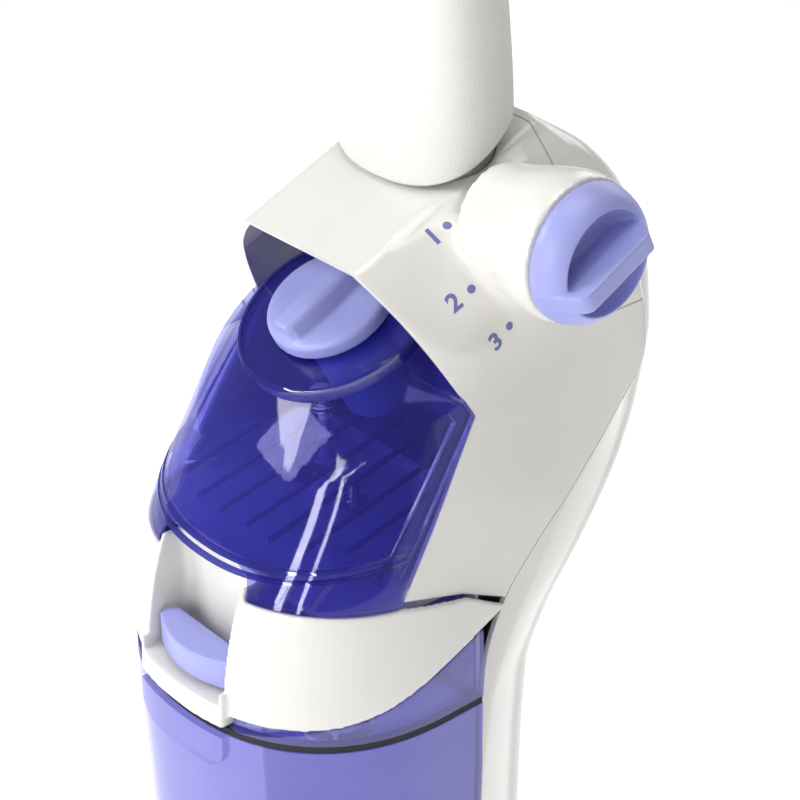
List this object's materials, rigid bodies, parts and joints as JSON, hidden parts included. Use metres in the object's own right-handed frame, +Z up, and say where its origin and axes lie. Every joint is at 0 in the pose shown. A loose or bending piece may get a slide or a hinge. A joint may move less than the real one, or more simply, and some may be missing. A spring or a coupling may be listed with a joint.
{
  "type": "wet dry floor scrubber",
  "caption": "Upright wet and dry hard-floor scrubber with stacked clean and dirty water tanks, a side mode knob, a wide floor head with geared scrub brushes, and a loop handle.",
  "frame": {"origin": "on the floor, under the centre of the overall bounding box", "axes": "+Z up the handle, -Y to the front of the machine where the nozzle is, +X to the side that carries the mode knob"},
  "size_m": [0.311, 0.3899, 1.13],
  "materials": {
    "white": "warm white injection-moulded plastic, satin gloss",
    "pebbled": "warm white plastic with a fine pebbled texture",
    "grey": "grey-green moulded plastic",
    "lavender": "lavender moulded plastic, satin",
    "clear_blue": "transparent deep violet-blue plastic, polished",
    "smoke_blue": "translucent lavender-blue plastic, polished",
    "cup_blue": "translucent periwinkle plastic",
    "black": "black moulded plastic",
    "rubber": "black moulded rubber",
    "tyre": "black tyre rubber",
    "bristle": "blue nylon bristles set in a hub",
    "foam": "dark open-cell filter foam",
    "steel": "brushed steel"
  },
  "bodies": {
    "floor_head": {"base_housing": "white", "base_plate": "white", "nozzle_hood": "clear_blue", "brush_carrier": "white", "brush_motor": "steel", "suction_duct": "grey", "pivot_bracket_left": "grey", "pivot_bracket_right": "grey"},
    "squeegee": {"squeegee_carrier": "grey", "squeegee_blade": "rubber"},
    "wheel_left": {"rear_wheel_left": "white", "rear_tyre_left": "tyre"},
    "wheel_right": {"rear_wheel_right": "white", "rear_tyre_right": "tyre"},
    "roller_left": {"front_roller_left": "grey"},
    "roller_right": {"front_roller_right": "grey"},
    "pinion": {"drive_pinion": "white"},
    "pedal": {"release_pedal": "lavender"},
    "upright": {"front_housing": "white", "rear_housing": "white", "bay_panel": "white", "tank_tray": "white", "tank_seat": "white", "solution_tube": "grey", "dirty_water_pipe": "grey", "air_pipe": "grey", "fan_scroll": "black", "suction_motor": "steel", "exhaust_filter": "foam", "cord_gland": "black", "handle_neck": "grey", "handle_front_shell": "pebbled", "handle_rear_cover": "pebbled", "handle_loop": "pebbled", "pivot_yoke": "white", "lower_cord_hook": "grey"},
    "fan": {"fan_impeller": "steel"},
    "knob": {"mode_knob": "lavender"},
    "squeeze_trigger": {"trigger": "lavender"},
    "switch": {"power_switch": "lavender"},
    "swivel_hook": {"upper_cord_hook": "grey"},
    "clean_water_tank": {"solution_tank": "clear_blue", "valve_spring": "steel"},
    "valve": {"tank_valve": "white"},
    "cap": {"tank_cap": "lavender", "cap_seal": "rubber", "measuring_cup": "cup_blue"},
    "dirty_water_tank": {"recovery_tank": "smoke_blue", "lid_gasket": "rubber", "recovery_lid": "smoke_blue", "lid_band": "white", "float_cage": "white", "standpipe": "white"},
    "latch": {"latch_lever": "lavender"},
    "float_ball": {"float": "white"},
    "scrub_brush_1": {"brush_1": "bristle"},
    "scrub_brush_2": {"brush_2": "bristle"},
    "scrub_brush_3": {"brush_3": "bristle"},
    "scrub_brush_4": {"brush_4": "bristle"},
    "scrub_brush_5": {"brush_5": "bristle"}
  },
  "joints": [
    {"name": "body_recline", "type": "hinge", "parent": "floor_head", "child": "upright", "pos_m": [0, 0.07, 0.062], "axis": [-1, 0, 0], "range_deg": [0, 50]},
    {"name": "wheel_left_spin", "type": "hinge", "parent": "floor_head", "child": "wheel_left", "pos_m": [-0.137, 0.1, 0.038], "axis": [1, 0, 0], "continuous": true},
    {"name": "wheel_right_spin", "type": "hinge", "parent": "floor_head", "child": "wheel_right", "pos_m": [0.137, 0.1, 0.038], "axis": [1, 0, 0], "continuous": true},
    {"name": "roller_left_spin", "type": "hinge", "parent": "floor_head", "child": "roller_left", "pos_m": [-0.1465, -0.106, 0.01], "axis": [1, 0, 0], "continuous": true},
    {"name": "roller_right_spin", "type": "hinge", "parent": "floor_head", "child": "roller_right", "pos_m": [0.1465, -0.106, 0.01], "axis": [1, 0, 0], "continuous": true},
    {"name": "squeegee_lift", "type": "slide", "parent": "floor_head", "child": "squeegee", "axis": [0, 0, 1], "range_m": [-0.0032, 0.005]},
    {"name": "pedal_press", "type": "hinge", "parent": "floor_head", "child": "pedal", "pos_m": [-0.093, 0.102, 0.043], "axis": [-1, 0, 0], "range_deg": [0, 15], "stiffness_Nm_per_rad": 0.4, "springref_deg": -11.46},
    {"name": "brush_1_spin", "type": "hinge", "parent": "floor_head", "child": "scrub_brush_1", "pos_m": [-0.104, -0.084, 0.02], "axis": [0, 0, 1], "continuous": true},
    {"name": "brush_2_spin", "type": "hinge", "parent": "floor_head", "child": "scrub_brush_2", "pos_m": [-0.052, -0.084, 0.02], "axis": [0, 0, 1], "continuous": true},
    {"name": "brush_3_spin", "type": "hinge", "parent": "floor_head", "child": "scrub_brush_3", "pos_m": [0, -0.084, 0.02], "axis": [0, 0, 1], "continuous": true},
    {"name": "brush_4_spin", "type": "hinge", "parent": "floor_head", "child": "scrub_brush_4", "pos_m": [0.052, -0.084, 0.02], "axis": [0, 0, 1], "continuous": true},
    {"name": "brush_5_spin", "type": "hinge", "parent": "floor_head", "child": "scrub_brush_5", "pos_m": [0.104, -0.084, 0.02], "axis": [0, 0, 1], "continuous": true},
    {"name": "pinion_spin", "type": "hinge", "parent": "floor_head", "child": "pinion", "pos_m": [0, -0.045, 0.047], "axis": [0, 0, 1], "continuous": true},
    {"name": "fan_spin", "type": "hinge", "parent": "upright", "child": "fan", "pos_m": [0, 0.127, 0.54], "axis": [0, 0, 1], "continuous": true},
    {"name": "mode_knob_turn", "type": "hinge", "parent": "upright", "child": "knob", "pos_m": [0.138, 0.077, 0.657], "axis": [1, 0, 0], "range_deg": [-57, 36]},
    {"name": "trigger_squeeze", "type": "hinge", "parent": "upright", "child": "squeeze_trigger", "pos_m": [0, 0.14981, 1.08058], "axis": [1, 0, 0], "range_deg": [0, 8], "stiffness_Nm_per_rad": 0.5, "springref_deg": -8.59},
    {"name": "power_switch_rock", "type": "hinge", "parent": "upright", "child": "switch", "pos_m": [0, 0.072, 0.89], "axis": [1, 0, 0], "range_deg": [-7, 7]},
    {"name": "cord_hook_swivel", "type": "hinge", "parent": "upright", "child": "swivel_hook", "pos_m": [0, 0.104, 0.865], "axis": [0, 1, 0], "range_deg": [0, 180]},
    {"name": "clean_tank_slide", "type": "slide", "parent": "upright", "child": "clean_water_tank", "axis": [0, -1, 0], "range_m": [0, 0.16]},
    {"name": "cap_turn", "type": "hinge", "parent": "clean_water_tank", "child": "cap", "pos_m": [0, 0.015, 0.597], "axis": [0, -0.4617, 0.887], "range_deg": [0, 90]},
    {"name": "valve_lift", "type": "slide", "parent": "clean_water_tank", "child": "valve", "axis": [0, 0, 1], "range_m": [0, 0.004], "stiffness_N_per_m": 150, "springref_m": -0.003},
    {"name": "dirty_tank_slide", "type": "slide", "parent": "upright", "child": "dirty_water_tank", "axis": [0, -1, 0], "range_m": [0, 0.15]},
    {"name": "latch_lift", "type": "hinge", "parent": "dirty_water_tank", "child": "latch", "pos_m": [0, -0.08, 0.416], "axis": [-1, 0, 0], "range_deg": [0, 18], "stiffness_Nm_per_rad": 0.3, "springref_deg": -11.46},
    {"name": "float_rise", "type": "slide", "parent": "dirty_water_tank", "child": "float_ball", "axis": [0, 0, 1], "range_m": [0, 0.048]}
  ],
  "couplings": [
    {"joint": "squeegee_lift", "follows": "mode_knob_turn", "m_per_rad": -0.0048},
    {"joint": "brush_1_spin", "follows": "brush_3_spin", "ratio": 1},
    {"joint": "brush_2_spin", "follows": "brush_3_spin", "ratio": -1},
    {"joint": "brush_4_spin", "follows": "brush_3_spin", "ratio": -1},
    {"joint": "brush_5_spin", "follows": "brush_3_spin", "ratio": 1},
    {"joint": "pinion_spin", "follows": "brush_3_spin", "ratio": -2}
  ]
}
